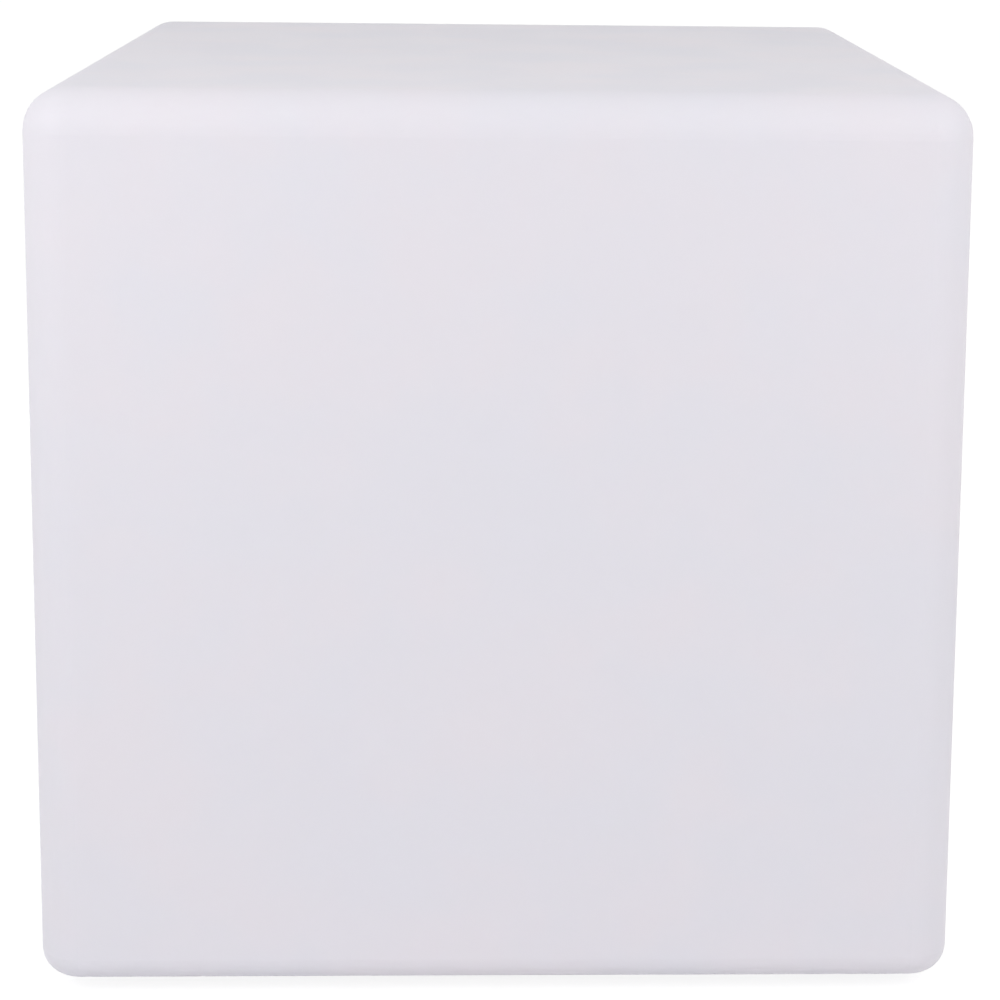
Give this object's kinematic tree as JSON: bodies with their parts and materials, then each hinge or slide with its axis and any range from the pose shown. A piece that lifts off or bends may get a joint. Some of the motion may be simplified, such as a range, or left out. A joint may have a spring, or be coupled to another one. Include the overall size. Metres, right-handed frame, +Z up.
{
  "type": "led cube light",
  "caption": "Hollow translucent plastic cube with rounded edges on rubber feet, lit from inside by a sealed, rechargeable light module that is screwed into a recess in its underside.",
  "frame": {"origin": "centre of the footprint, on the ground under the rubber feet", "axes": "+Z up through the top face; -Y is the front face of the picture; the socket and button lie towards -Y in the underside"},
  "size_m": [0.3996, 0.3996, 0.394],
  "materials": {
    "shell_plastic": "matt natural polyethylene, slightly translucent",
    "housing_plastic": "fine textured light grey plastic",
    "opal_plastic": "opal diffuser plastic",
    "grey_rubber": "matt grey rubber",
    "soft_seal": "soft light grey silicone",
    "button_plastic": "fine matt grey plastic",
    "steel": "stainless steel",
    "brass": "turned brass",
    "nickel": "nickel strip",
    "led_board_finish": "white coated aluminium",
    "led_white": "led package with warm phosphor",
    "led_clear": "led package with clear window",
    "cell_wrap": "plain blue sleeve on a metal can",
    "cradle_plastic": "black plastic",
    "board_green": "green solder mask",
    "chip_black": "black moulding compound",
    "can_metal": "metal can",
    "connector_plastic": "cream plastic",
    "socket_plastic": "black gloss plastic",
    "wire_red": "red insulation",
    "wire_black": "black insulation",
    "wire_white": "white insulation",
    "lens_clear": "clear light pipe"
  },
  "bodies": {
    "root": {"battery_cells": "cell_wrap", "battery_cradle": "cradle_plastic", "battery_lead_black": "wire_black", "battery_lead_red": "wire_red", "battery_strap": "steel", "battery_tabs": "nickel", "battery_terminals": "connector_plastic", "button_boot": "soft_seal", "charging_socket": "socket_plastic", "control_board": "board_green", "control_board_screws": "steel", "control_chips": "chip_black", "cradle_screws": "steel", "cube_shell": "shell_plastic", "dome_gasket": "soft_seal", "dome_screws": "steel", "flap_pin": "steel", "foot_inserts": "brass", "foot_screws": "steel", "foot_washers": "steel", "indicator_led": "led_clear", "indicator_lens": "lens_clear", "led_board": "led_board_finish", "led_board_screws": "steel", "led_connectors": "connector_plastic", "led_leads": "wire_white", "light_dome": "opal_plastic", "module_gasket": "soft_seal", "module_housing": "housing_plastic", "module_inserts": "brass", "module_screws": "steel", "power_inductor": "chip_black", "remote_receiver": "can_metal", "rgb_leds": "led_clear", "rubber_feet": "grey_rubber", "smoothing_capacitors": "can_metal", "socket_pin": "nickel", "socket_seal": "soft_seal", "strap_screws": "steel", "switch_body": "socket_plastic", "vent_plug": "button_plastic", "white_leds": "led_white"},
    "button": {"power_button": "button_plastic", "switch_plunger": "connector_plastic"},
    "cover": {"port_flap": "grey_rubber"}
  },
  "joints": [
    {"name": "power_button_press", "type": "slide", "parent": "root", "child": "button", "axis": [0, 0, 1], "range_m": [0, 0.0015], "stiffness_N_per_m": 1500, "springref_m": -0.0005, "deforming": ["button_boot"]},
    {"name": "port_flap_hinge", "type": "hinge", "parent": "root", "child": "cover", "pos_m": [0.01695, -0.0264, 0.0166], "axis": [1, 0, 0], "range_deg": [0, 100]}
  ]
}
